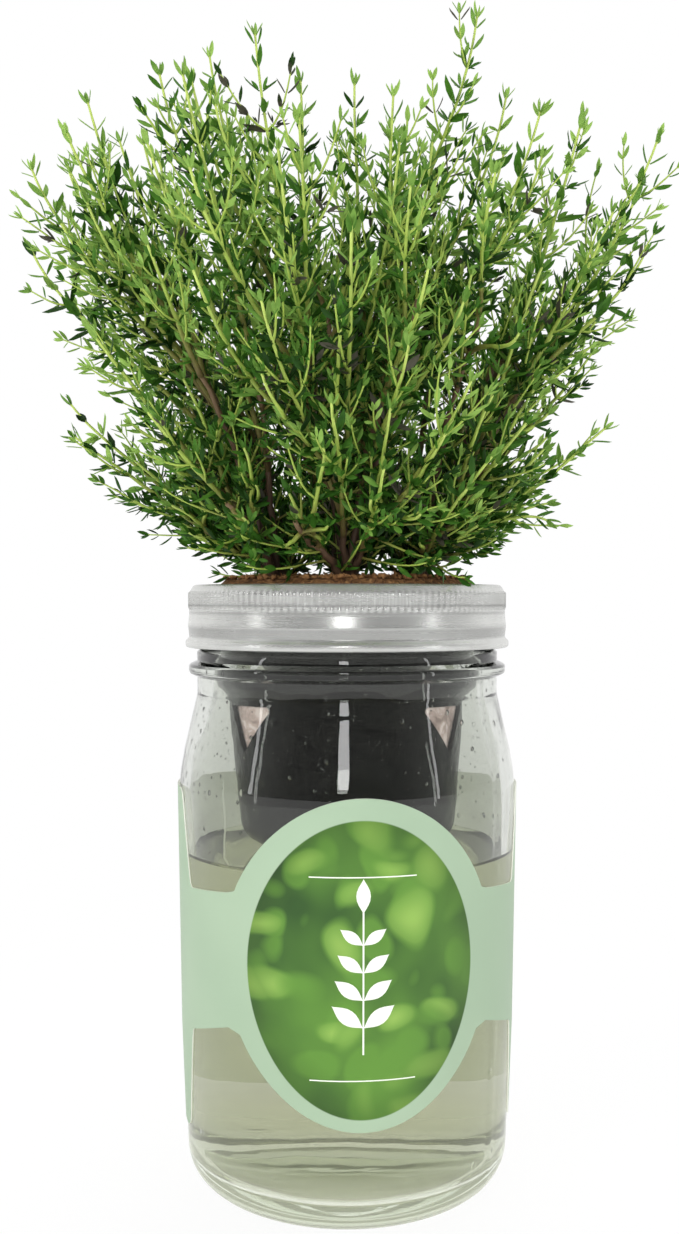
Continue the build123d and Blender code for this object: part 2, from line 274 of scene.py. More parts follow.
def addCells(tree, vector, scale, **sockets):
    return addNode(tree, "TexVoronoi", Vector=vector, Scale=scale, **sockets).outputs["Distance"]


def addRamp(tree, value, stops):
    ramp = addNode(tree, "ValToRGB", Fac=value)
    bands = ramp.color_ramp.elements
    while len(bands) < len(stops):
        bands.new(0.5)
    for band, (place, colour) in zip(bands, stops):
        band.position = place
        band.color = colour
    return ramp.outputs["Color"]


def addRange(tree, value, low, high, first=0.0, last=1.0):
    return addNode(tree, "MapRange", Value=value, From_Min=low, From_Max=high, To_Min=first,
                   To_Max=last).outputs["Result"]


def addMath(tree, operation, *values):
    return feedInOrder(addNode(tree, "Math", {"operation": operation}), *values).outputs[0]


def addLength(tree, vector):
    return addNode(tree, "VectorMath", {"operation": "LENGTH"}, Vector=vector).outputs["Value"]


def addAxis(tree, vector, axis):
    return addNode(tree, "SeparateXYZ", Vector=vector).outputs[axis]


def mixColours(tree, share, first, second, blend="MIX"):
    node = addNode(tree, "Mix", {"data_type": "RGBA", "blend_type": blend})
    for number, value in ((0, share), (6, first), (7, second)):
        feed(node.inputs[number], value)
    return node.outputs[2]


def mixShaders(tree, share, first, second):
    return feedInOrder(addNode(tree, "MixShader"), share, first, second).outputs[0]


def addBump(tree, height, distance, strength=1.0, under=None):
    bump = addNode(tree, "Bump", Strength=strength, Distance=distance * mm, Height=height)
    if under:
        feed(bump.inputs["Normal"], under)
    return bump.outputs["Normal"]


def showSurface(tree, surface):
    feed(tree.nodes["Material Output"].inputs["Surface"], surface)
    return surface


def tintDepth(tree, values):  # colours what is seen through the thickness
    depth = addNode(tree, "VolumeAbsorption", Color=values["depthTint"], Density=values["depthTintDensity"])
    feed(tree.nodes["Material Output"].inputs["Volume"], depth.outputs[0])


def letLampsThrough(tree, surface, clear, share=1.0):
    # shadow rays and scattered light pass, or a share of them, so that what stands behind is lit
    rays = addNode(tree, "LightPath").outputs
    passing = addMath(tree, "MAXIMUM", rays["Is Shadow Ray"], rays["Is Diffuse Ray"])
    gap = addNode(tree, "BsdfTransparent", Color=clear)
    showSurface(tree, mixShaders(tree, addMath(tree, "MULTIPLY", passing, share), surface, gap.outputs[0]))


def letLightThrough(tree, surface, colour, share):
    # thin stuff: some light comes through from behind
    through = addNode(tree, "BsdfTranslucent", Color=colour)
    return showSurface(tree, mixShaders(tree, share, surface, through.outputs[0]))


def finishPiece(piece, body, material, nodes=()):
    if material:
        piece.data.materials.clear()
        piece.data.materials.append(material)
    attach(piece, body)
    if nodes:
        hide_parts(*nodes)


def noiseMaterial(name, noise, stops, bump, scale=(1, 1, 1), **sockets):
    # one noise for the colour and the bump
    material, tree, shader = newMaterial(name, **sockets)
    grain = addNoise(tree, placedCoords(tree, scale), *noise)
    colour = addRamp(tree, grain, stops)
    setSockets(shader, Base_Color=colour, Normal=addBump(tree, grain, *bump))
    return material, tree, shader, colour


# glass jar

jar = {
    "around": 176,
    "waves": [(16, 0.22), (22, 0.154)],  # size and height in mm, on the inside
    "wavesUpTo": 146,
    "seamAngles": (-33, 147),  # degrees from +X, where the two halves of the mould met
    "seamHeights": (3, 146.5),
    "seamRise": 0.16,
    "glassTint": tint(222, 224, 219),
    "depthTint": tint(196, 214, 190),
    "depthTintDensity": 8.0,
    "cloudTint": tint(240, 243, 222),
    "cloudShare": 0.4,  # round the foot; none above cloudTop or inside cloudInside
    "cloudTop": 0.02,
    "cloudInside": 0.034,
}
jarOuter = [
    (3.0, 2.2, 0), (30.5, 0, 1.0), (46.35, 0, 12.0), (47.75, 48.0, 0), (48.3, 120.0, 60.0),
    (42.85, 142.6, 4.0), (42.85, 147.3, 0), (45.15, 148.45, 1.0), (45.15, 150.75, 1.0),
    (42.85, 151.9, 0), (42.85, 154.3, 0), (41.8, 155.5, 0), (41.8, 171.4, 1.2),
]
jarInner = [
    (38.2, 171.4, 1.2), (38.2, 142.6, 4.0), (45.2, 120.0, 56.9), (43.25, 7.6, 10.0), (3.0, 7.6, 0),
]
glassJar = turnRings("jar_glass", outlinePoints(jarOuter + jarInner, 9, 3.5), jar["around"])
innerPoints = outlinePoints([(38.2, 150, 0)] + jarInner[1:4] + [(20, 7.6, 0)], 6, 2)
innerRadii, innerHeights = np.array(innerPoints[::-1]).T


def innerRadius(height):
    return float(np.interp(height, innerHeights, innerRadii))


def outFromInside(co):  # how far a place is from the jar's inner face, in mm
    return co.xy.length / mm - innerRadius(co.z / mm)


startEdit(glassJar)
columnStep = 360 / jar["around"]
for seamAngle in jar["seamAngles"]:
    nearest = round(seamAngle / columnStep) * columnStep
    low, high = jar["seamHeights"]

    def onSeam(co):
        turned = (math.degrees(math.atan2(co.y, co.x)) - nearest + 180) % 360 - 180
        return outFromInside(co) > 1.4 and low < co.z / mm < high and abs(turned) < columnStep / 4

    pickVerts(onSeam)
    size = 1 + jar["seamRise"] / 47
    bpy.ops.transform.resize(value=(size, size, 1), center_override=(0, 0, 0))
endEdit()
roughen(glassJar, jar["waves"], lambda co: co.z < jar["wavesUpTo"] * mm and outFromInside(co) < 0.4)
smooth(glassJar, 50)


def jarGlassMaterial():
    material, tree, shader = newMaterial(
        "jarGlass", Base_Color=jar["glassTint"], Roughness=0.0, IOR=1.5, Transmission_Weight=1.0)
    coords = placedCoords(tree)
    streaks = addNoise(tree, placedCoords(tree, (60, 60, 16)), 1.0, 3, 0.5, 0.4)
    specks = addRamp(tree, addCells(tree, coords, 55.0), [(0.03, grey(1)), (0.07, grey(0))])
    setSockets(shader, Normal=addBump(tree, specks, 0.25, 0.5, addBump(tree, streaks, 0.5, 0.25)))
    tintDepth(tree, jar)
    low = addRange(tree, addAxis(tree, coords, "Z"), 0.001, jar["cloudTop"], jar["cloudShare"], 0.0)
    fromAxis = addLength(tree, placedCoords(tree, (1, 1, 0)))
    atRim = addRange(tree, fromAxis, jar["cloudInside"], jar["cloudInside"] + 0.01)
    cloud = addNode(tree, "BsdfDiffuse", Color=jar["cloudTint"])
    cloudy = mixShaders(tree, addMath(tree, "MULTIPLY", low, atRim), shader.outputs[0], cloud.outputs[0])
    letLampsThrough(tree, cloudy, (0.99, 0.99, 0.99, 1))
    return material


finishPiece(glassJar, "jar", jarGlassMaterial(), ["glass_jar"])
print("jar done")

# water, up to just under the pot, with a lip where it meets the glass

water = {
    "level": 97.6,
    "lip": 1.1,
    "surfaceTint": tint(250, 252, 244),
    "depthTint": tint(216, 210, 142),
    "depthTintDensity": 6.0,
}
wallHere = innerRadius(water["level"]) + 0.14
waterBody = turnRings("water", outlinePoints([
    (3.0, 7.5, 0), (43.35, 7.5, 10.0), (wallHere, water["level"] + water["lip"], 0),
    (wallHere - 1.2, water["level"] + 0.15, 0), (wallHere - 3.0, water["level"], 0), (3.0, water["level"], 0),
], 12, 5), 128)
smooth(waterBody, 50)


def clearMaterial(name, colour, bumpScale, detail, bumpHeight, clear):
    material, tree, shader = newMaterial(
        name, Base_Color=colour, Roughness=0.0, IOR=1.333, Transmission_Weight=1.0)
    ripples = addNoise(tree, placedCoords(tree), bumpScale, detail)
    setSockets(shader, Normal=addBump(tree, ripples, bumpHeight, 0.2))
    letLampsThrough(tree, shader.outputs[0], clear)
    return material


feedWater = clearMaterial("feedWater", water["surfaceTint"], 45, 2, 0.12, (0.99, 0.99, 0.97, 1))
tintDepth(feedWater.node_tree, water)
finishPiece(waterBody, "jar", feedWater)
print("water done")

# drops of condensation on the inside of the glass, over the water

drops = {"count": 620, "lowest": 100.5, "highest": 150, "least": 0.16, "most": 0.62, "seed": 5}
dropShape = addPrimitive("uv_sphere", segments=8, ring_count=5, radius=1)
startEdit()
pickVerts(lambda co: co.y > 0.2)
bpy.ops.transform.translate(value=(0, 0.25, -0.18))  # a drop sags a little
endEdit()
rng = np.random.default_rng(drops["seed"])
dropCopies = []
for n in range(drops["count"]):
    angle = math.radians(rng.uniform(0, 360))
    height = drops["lowest"] + (drops["highest"] - drops["lowest"]) * rng.uniform() ** 0.8
    size = drops["least"] + (drops["most"] - drops["least"]) * rng.uniform() ** 3
    radius = innerRadius(height) + 0.05
    out = (math.cos(angle), math.sin(angle), 0)
    dropCopies.append((placeAt(
        (out[0] * radius, out[1] * radius, height), (0, 0, -1), (-out[1], out[0], 0), out,
        (size, size * rng.uniform(1.0, 1.5), size * 0.55)), 0))
condensation = copiesOf("condensation", [dropShape], dropCopies)
dropShapes(dropShape)
finishPiece(condensation, "jar", clearMaterial("condensationDrops", grey(1), 900, 1, 0.05, (0.98, 0.98, 0.98, 1)))
print("condensation done")

# screw band: pressed sheet, fluted round its top and rolled at its foot

band = {
    "flutes": 150,
    "fluteDepth": 0.5,
    "fluteBottom": 166.5,
    "fluteTop": 170.9,
    "metal": tint(218, 219, 216),
    "dullMetal": tint(204, 204, 201),
    "shine": 0.75,
    # height in mm and how light the metal is painted there: painted shade where the band faces down and along its
    # grooves, full brightness where it catches the light
    "paintedShade": [(155.6, 0.8), (156.8, 1.0), (158.3, 1.0), (159.0, 0.62), (161.0, 0.58), (162.0, 0.9), (162.8, 1.0),
               (164.7, 0.95), (165.4, 0.66), (166.0, 0.92), (166.9, 0.92), (167.4, 0.6), (167.9, 0.9), (171, 1.0),
               (173.1, 0.85)],
    "roughness": 0.27,
}
bandCorners = [
    (38.0, 173.1, 0), (43.6, 173.1, 1.2), (44.95, 170.8, 0), (44.95, 164.7, 0.8), (45.3, 161.7, 1.2),
    (44.95, 158.5, 0.8), (46.05, 157.4, 0.8), (46.05, 155.6, 0.8), (44.45, 155.6, 0),
    (44.45, 170.8, 0), (43.15, 172.65, 0), (38.0, 172.65, 0), (38.0, 173.1, 0),
]
columns = band["flutes"] * 4
screwBand = turnRings("band_metal", outlinePoints(bandCorners, 15, 0.7), columns, True)
startEdit(screwBand)
for quarter, push in ((0, 1), (2, -1)):  # ridges out and hollows in

    def onFlute(co):
        column = round(math.degrees(math.atan2(co.y, co.x)) % 360 / 360 * columns)
        return (column % 4 == quarter and co.xy.length > 0.0446
                and band["fluteBottom"] < co.z / mm < band["fluteTop"])

    pickVerts(onFlute)
    size = 1 + push * band["fluteDepth"] / 2 / 45
    bpy.ops.transform.resize(value=(size, size, 1), center_override=(0, 0, 0))
endEdit()
smooth(screwBand, 60)


def bandMaterial():
    material, tree, shader = newMaterial("platedSteel", Metallic=band["shine"])
    coords = placedCoords(tree)
    grain = addNoise(tree, placedCoords(tree, (30, 30, 900)), 1.0, 4, 0.6)
    metal = addRamp(tree, addNoise(tree, coords, 70, 4, 0.6), [(0.3, band["dullMetal"]), (0.7, band["metal"])])
    low, high = band["paintedShade"][0][0], band["paintedShade"][-1][0]
    upBand = addRange(tree, addAxis(tree, coords, "Z"), low * mm, high * mm)
    # painted light and shade: the metal's colour is darkened by height, most where the band faces down and in its
    # grooves
    shade = addRamp(tree, upBand, [((height - low) / (high - low), grey(s)) for height, s in band["paintedShade"]])
    setSockets(shader, Base_Color=mixColours(tree, 1.0, metal, shade, "MULTIPLY"),
               Roughness=addMath(tree, "MULTIPLY_ADD", grain, 0.12, band["roughness"] - 0.06),
               Normal=addBump(tree, grain, 0.02, 0.35))
    return material


finishPiece(screwBand, "band", bandMaterial(), ["screw_band"])
print("band done")

# paper sleeve: mint card, white where it is cut and inside, with a printed oval

sleeve = {
    "turn": 5,
    "thickness": 0.3,
    "letsThrough": 0.8,  # of the light that falls on either face
    "strips": 150,
    "flatRadius": 48.2,
    "kneeHeight": 48,  # where the jar's side starts to rise more steeply
    "ovalHalves": (35.8, 43.9),
    "cardOvalMiddle": 74.9,
    # the panel and the arm beside it: degrees round from the oval's middle, height and rounding in mm
    "cardCorners": [(46, 55.5, 0), (67.5, 50.5, 2), (74.4, 20, 4), (180, 20, 0), (180, 117, 0), (75.5, 117, 4),
                    (67.5, 90.3, 2), (46, 92, 0)],
    "ovalHalfWidth": 29.6,
    "ovalHalfHeight": 39.35,
    "ovalMiddle": 73.75,
    "mint": tint(158, 181, 154),
    "mintPale": tint(166, 188, 161),
    "card": tint(248, 248, 240),
    "cardFibre": tint(240, 241, 232),
    "leafDark": tint(42, 80, 26),
    "leafMiddle": tint(92, 140, 48),
    "leafLight": tint(158, 196, 92),
}


def sleeveRadius(height):  # the card's inner side, in mm
    knee = sleeve["kneeHeight"]
    return (46.35 + 1.4 * height / knee if height < knee else 47.75 + 0.55 * (height - knee) / 72) + 0.1


def wrapped(across, height, lift=0.0):  # a place on the flat card to one round the jar, in m
    angle = across / sleeve["flatRadius"] + math.radians(sleeve["turn"])
    radius = sleeveRadius(height) + lift
    return Vector((radius * math.sin(angle), -radius * math.cos(angle), height)) * mm


def flatOutline():
    # half of the cut card from the seam at the back, then its mirror image
    radius = sleeve["flatRadius"]
    a, b, middle = *sleeve["ovalHalves"], sleeve["cardOvalMiddle"]
    half = outlinePoints([(radius * math.radians(angle), height, rounding)
                          for angle, height, rounding in sleeve["cardCorners"]], 15, 3)
    oval = []
    for step in range(91):
        turn = math.pi * (step / 90 - 0.5)
        oval.append(Vector((radius * math.asin(a * math.cos(turn) / radius), middle + b * math.sin(turn))))
    right = [p for p in oval if p.y < half[0].y] + half + [p for p in oval if p.y > half[-1].y]
    return right + [Vector((-p.x, p.y)) for p in reversed(right) if p.x > 0.01]


def faceOutward(piece):
    if sum(p.normal.dot(p.center * Vector((1, 1, 0))) for p in piece.data.polygons) < 0:
        piece.data.flip_normals()


outline = flatOutline()
paperSleeve = addPrimitive("circle", vertices=len(outline), radius=1, fill_type="NGON")
paperSleeve.name = "label_card"
for vert, point in zip(paperSleeve.data.vertices, outline):
    vert.co = (point.x, point.y, 0)
startEdit()
bpy.ops.mesh.quads_convert_to_tris()
backHalf = math.pi * sleeve["flatRadius"]
for cut in range(1, sleeve["strips"]):
    bpy.ops.mesh.select_all(action="SELECT")
    bpy.ops.mesh.bisect(plane_co=(backHalf * (2 * cut / sleeve["strips"] - 1), 0, 0), plane_no=(1, 0, 0))
bpy.ops.mesh.select_all(action="SELECT")
bpy.ops.mesh.bisect(plane_co=(0, sleeve["kneeHeight"], 0), plane_no=(0, 1, 0))
endEdit()
for vert in paperSleeve.data.vertices:
    vert.co = wrapped(vert.co.x, vert.co.y)
startEdit()
endClean(0.00002)
faceOutward(paperSleeve)
applyModifier(paperSleeve, "SOLIDIFY", thickness=sleeve["thickness"] * mm, offset=1)
smooth(paperSleeve, 30)


def foliageColour(tree, coords):
    # soft, out of focus foliage in layers, the nearer ones lighter
    warp = addNoise(tree, coords, 38.0, 1, output="Color")
    bent = addNode(tree, "VectorMath", {"operation": "MULTIPLY_ADD"})
    feedInOrder(bent, warp, (0.016, 0.016, 0.016), coords)
    middle, light = sleeve["leafMiddle"], sleeve["leafLight"]
    colour = addRamp(tree, addNoise(tree, coords, 32, 2), [(0.35, sleeve["leafDark"]), (0.65, middle)])
    for layer, (scale, turn, shade) in enumerate((
        ((95, 1, 62), 0.5, middle), ((60, 1, 95), -0.7, light),
        ((50, 1, 72), 0.9, middle), ((72, 1, 46), 0.1, light),
    )):
        spun = placedCoords(tree, scale, (0, turn, 0), (3.1 * layer, 0, 1.7 * layer), bent.outputs[0])
        cells = addCells(tree, spun, 1.0, Randomness=0.9)
        leaf = addRamp(tree, cells, [(0.31, grey(0.85)), (0.42, grey(0))])
        colour = mixColours(tree, leaf, colour, addRamp(tree, cells, [(0.0, shade), (0.4, middle)]))
    return colour


def mintMaterial():
    material, tree, shader = newMaterial("printedCard")
    turned = placedCoords(tree, turn=(0, 0, -math.radians(sleeve["turn"])))
    a, b = sleeve["ovalHalfWidth"] * mm, sleeve["ovalHalfHeight"] * mm
    span = addLength(tree, placedCoords(
        tree, (1 / a, 0, 1 / b), move=(0, 0, -sleeve["ovalMiddle"] * mm / b), source=turned))
    inFront = addMath(tree, "LESS_THAN", addAxis(tree, turned, "Y"), 0.0)
    printed = addMath(tree, "MULTIPLY", addRange(tree, span, 1.004, 0.996), inFront)
    edge = addRamp(tree, span, [(0.72, grey(1)), (1.0, (0.62, 0.66, 0.55, 1))])
    foliage = mixColours(tree, 1.0, foliageColour(tree, turned), edge, "MULTIPLY")
    mint = addRamp(tree, addNoise(tree, turned, 22, 2), [(0.35, sleeve["mint"]), (0.7, sleeve["mintPale"])])
    inked = mixColours(tree, printed, mint, foliage)
    setSockets(shader, Base_Color=inked, Roughness=addRange(tree, printed, 0.0, 1.0, 0.5, 0.34),
               Normal=addBump(tree, addNoise(tree, turned, 700, 3), 0.02, 0.25))
    paper = letLightThrough(tree, shader.outputs[0], inked, 0.08)
    letLampsThrough(tree, paper, (0.97, 1.0, 0.96, 1), sleeve["letsThrough"])
    return material


def cardMaterial():
    material, tree, shader, white = noiseMaterial(
        "bareCard", (1.0, 4, 0.6), [(0.3, sleeve["cardFibre"]), (0.7, sleeve["card"])], (0.03, 0.3),
        (400, 400, 160), Roughness=0.85)
    paper = letLightThrough(tree, shader.outputs[0], white, 0.5)
    letLampsThrough(tree, paper, grey(1), sleeve["letsThrough"])
    return material


finishPiece(paperSleeve, "jar", mintMaterial(), ["label_sleeve"])
paperSleeve.data.materials.append(cardMaterial())
for face in paperSleeve.data.polygons:  # the inside and the cut edges
    if face.normal.xy.dot(face.center.xy.normalized()) < 0.7:
        face.material_index = 1
print("sleeve done")

# a plain white sprig and two rules printed on the oval

motif = {"stemBottom": 52, "stemTop": 90, "pairs": 4, "leafLength": 9.2, "leafWidth": 3.7, "line": 0.32,
         "ruleHeights": (98.5, 45.0), "ruleWidth": 28.0, "white": tint(238, 242, 230)}


def placeFlat(piece, height, turn, size=(1, 1)):
    piece.matrix_world = (Matrix.Translation((0, height * mm, 0)) @ Matrix.Rotation(turn, 4, "Z")
                          @ Matrix.Diagonal((*size, 1, 1)))
    bpy.ops.object.transform_apply()
    return piece


def flatLeaf(size, turn, height):
    leaf = addPrimitive("circle", vertices=24, radius=0.5 * mm, fill_type="NGON")
    for vert in leaf.data.vertices:
        vert.co.x *= 1 - min(1.0, abs(vert.co.y) / (0.5 * mm)) ** 2.2
    width, length = motif["leafWidth"] * size, motif["leafLength"] * size
    startEdit()
    bpy.ops.transform.resize(value=(width, length, 1), center_override=(0, 0, 0))
    bpy.ops.transform.translate(value=(0, length / 2 * mm, 0))
    endEdit()
    return placeFlat(leaf, height, turn)


def flatBar(middle, length, width, turn=0.0):
    bar = addPrimitive("plane", size=1)
    startEdit()
    bpy.ops.mesh.subdivide(number_cuts=5)
    endEdit()
    return placeFlat(bar, middle, turn, (length * mm, width * mm))


low, high = motif["stemBottom"], motif["stemTop"]
parts = [flatBar((low + high) / 2, high - low, motif["line"] * 1.4, math.pi / 2), flatLeaf(1, 0, high - 1)]
for pair in range(motif["pairs"]):
    for turn in (-0.95, 0.95):
        parts.append(flatLeaf(1.1 - 0.1 * pair, turn, low + 7 + pair * (high - low - 9) / motif["pairs"]))
for height in motif["ruleHeights"]:
    parts.append(flatBar(height, motif["ruleWidth"], motif["line"]))
labelMotif = joinPieces(*parts)
labelMotif.name = "label_motif"
startEdit()
bpy.ops.mesh.quads_convert_to_tris()
bpy.ops.mesh.subdivide(number_cuts=1)
endEdit()
for vert in labelMotif.data.vertices:
    vert.co = wrapped(vert.co.x / mm, vert.co.y / mm, sleeve["thickness"] + 0.03)
startEdit()
endClean()
faceOutward(labelMotif)
ink, tree, shader = newMaterial("whiteInk", Roughness=0.5)
setSockets(shader, Base_Color=addRamp(tree, addNoise(tree, placedCoords(tree), 500, 2),
                                      [(0.3, tint(230, 236, 220)), (0.7, motif["white"])]))
finishPiece(labelMotif, "jar", ink)
print("motif done")

# net pot

pot = {"plastic": tint(20, 20, 18), "darkest": tint(8, 8, 8), "roughness": 0.2, "gloss": 0.3, "dimples": 1.6}
netPot = addObject("pot_plastic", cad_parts["net_pot"].data.copy())
netPot.data.materials.clear()
startEdit(netPot)
bpy.ops.mesh.remove_doubles(threshold=0.00001)
endEdit()
smooth(netPot, 30)


def potMaterial():
    material, tree, shader = newMaterial(
        "blackPlastic", Roughness=pot["roughness"], IOR=1.5, Specular_IOR_Level=pot["gloss"])
    coords = placedCoords(tree)
    lumps = addBump(tree, addNoise(tree, coords, 160, 3, 0.55, 0.6), pot["dimples"], 0.8)
    setSockets(shader, Normal=addBump(tree, addCells(tree, coords, 420.0), 0.25, 0.4, lumps), Base_Color=addRamp(
        tree, addNoise(tree, coords, 120, 3), [(0.3, pot["darkest"]), (0.75, pot["plastic"])]))
    return material


finishPiece(netPot, "insert", potMaterial(), ["net_pot"])
print("pot done")

# felt wicks: each lines half of the pot's wall, crosses its floor and hangs as a tail

felt = {"thickness": 1.7, "halfAngle": 62, "tailHalfWidth": 11, "wallTop": 140.1, "floor": 102.1, "tailEnd": 34,
        "wallRun": 38.0, "floorRun": 27.0, "wallTopRadius": 31.2, "wallLowRadius": 28.1, "wave": 0.5,
        "palest": tint(224, 208, 202), "pale": tint(196, 176, 168), "dark": tint(150, 130, 122)}


def feltPlace(across, along, side):
    # along runs from 0 at the wall's top to 1 at the tail's end
    wall, floor = felt["wallRun"], felt["floorRun"]
    total = wall + floor + felt["floor"] - felt["tailEnd"]
    way = along * total
    angle = math.radians(felt["halfAngle"]) * across
    if way < wall:
        share = way / wall
        corner = max(0.0, (share - 0.86) / 0.14)
        radius = felt["wallTopRadius"] + (felt["wallLowRadius"] - felt["wallTopRadius"]) * share - 2.0 * corner ** 2
        height = felt["wallTop"] + (felt["floor"] - felt["wallTop"]) * share
        x, y = radius * math.cos(angle), radius * math.sin(angle)
    else:
        radius = max(felt["wallLowRadius"] - 2.0 - (way - wall), 1.15)
        flat = min(1.0, max(0.0, (15 - radius) / 8))
        x = radius * (math.cos(angle) * (1 - flat) + flat)
        y = radius * math.sin(angle) * (1 - flat) + felt["tailHalfWidth"] * across * flat
        down = max(0.0, way - wall - floor)
        height = felt["floor"] - down
        wave = felt["wave"] * (1 - math.cos(down / 11)) + 0.35 * abs(across) ** 2
        x = max(x, 1.15) + wave * min(1.0, down / 15)
    return Vector((side * x * mm, y * mm, height * mm))


def feltMaterial():
    material, tree, shader = newMaterial("feltWick", Roughness=0.95, Sheen_Weight=0.3)
    coords = placedCoords(tree)
    web = addRamp(tree, addNoise(tree, coords, 130, 3, 0.6, 2.0),
                  [(0.36, felt["dark"]), (0.55, felt["pale"]), (0.62, felt["palest"])])
    strands = addNoise(tree, coords, 320, 6, 0.7, 1.6)
    setSockets(shader, Base_Color=web, Normal=addBump(tree, strands, 0.5, 0.8))
    return material


feltCloth = feltMaterial()
for side, word in ((1, "right"), (-1, "left")):
    wick = addPrimitive("grid", x_subdivisions=26, y_subdivisions=72, size=2)
    wick.name = "felt_" + word
    for vert in wick.data.vertices:
        vert.co = feltPlace(vert.co.x, (1 - vert.co.y) / 2, side)
    startEdit()
    endClean()
    applyModifier(wick, "SOLIDIFY", thickness=felt["thickness"] * mm, offset=0)
    roughen(wick, [(2.5, 0.22)])
    smooth(wick, 60)
    finishPiece(wick, "insert", feltCloth, ["wick_" + word])
print("wicks done")

# growing medium, with crumbs and fibres on top

soil = {"top": 174.5, "radius": 35.9, "lumps": [(3.2, 1.5)], "lumpsFrom": 172.5,
        "crumbs": 900, "fibres": 420, "seed": 11,
        "dark": tint(40, 27, 18), "brown": tint(104, 70, 42), "fibre": tint(132, 94, 58),
        "pale": tint(158, 120, 78)}
growingMedium = turnRings("coir_plug", outlinePoints([
    (3.0, 101.4, 0), (26.4, 101.4, 4.0), (29.6, 140.5, 0), (soil["radius"], 146.6, 1.0),
    (soil["radius"], soil["top"] - 1.4, 0.8), (soil["radius"] - 1.6, soil["top"], 0.6), (3.0, soil["top"] + 0.4, 0),
], 20, 1.5), 110)
roughen(growingMedium, soil["lumps"], lambda co: co.z > soil["lumpsFrom"] * mm, 3)
smooth(growingMedium, 80)


def soilMaterial(name, *colours):
    stops = list(zip((0.35, 0.5, 0.66), colours))
    return noiseMaterial(name, (420, 6, 0.7, 2.2), stops, (0.6, 0.9), Roughness=0.95)[0]


finishPiece(growingMedium, "insert", soilMaterial("coir", soil["dark"], soil["brown"], soil["pale"]),
            ["growing_medium"])
crumbShape = addPrimitive("ico_sphere", subdivisions=1, radius=1)
startEdit()
pickVerts(lambda co: co.z > 0.3 and co.x > 0)
bpy.ops.transform.translate(value=(0.3, 0.1, 0.25))
endEdit()
fibreShape = addPrimitive("cylinder", vertices=4, radius=0.11, depth=1)
startEdit()
bpy.ops.transform.rotate(value=math.pi / 2, orient_axis="X", center_override=(0, 0, 0))
bpy.ops.mesh.bisect(plane_co=(0, 0, 0), plane_no=(0, 1, 0))
bpy.ops.transform.translate(value=(0, 0, 0.12))
endEdit()
rng = np.random.default_rng(soil["seed"])
crumbCopies = []
for n in range(soil["crumbs"] + soil["fibres"]):
    isCrumb = n < soil["crumbs"]
    angle = rng.uniform(0, 2 * math.pi)
    radius = (soil["radius"] - (0.8 if isCrumb else 3.5)) * math.sqrt(rng.uniform())
    spin = rng.uniform(0, 2 * math.pi)
    tilt = rng.uniform(-0.45, 0.45)
    along = np.array((math.cos(spin) * math.cos(tilt), math.sin(spin) * math.cos(tilt), math.sin(tilt)))
    across = np.array((-math.sin(spin), math.cos(spin), 0))
    size = rng.uniform(0.35, 1.1) if isCrumb else 1
    sizes = (size, size * rng.uniform(0.7, 1.6), size * 0.7) if isCrumb else (1, rng.uniform(3, 7), 2.2)
    spot = (radius * math.cos(angle), radius * math.sin(angle), soil["top"] + 0.35 + rng.uniform(-0.2, 0.5))
    crumbCopies.append((placeAt(spot, along, across, np.cross(across, along), sizes), 0 if isCrumb else 1))
soilCrumbs = copiesOf("coir_crumbs", [crumbShape, fibreShape], crumbCopies)
dropShapes(crumbShape, fibreShape)
crumbMaterial = soilMaterial("coirFibre", soil["brown"], soil["fibre"], soil["pale"])
finishPiece(soilCrumbs, "insert", crumbMaterial)
print("medium done")

# thyme: woody stems from each crown, long sprigs that fork from them, and side shoots

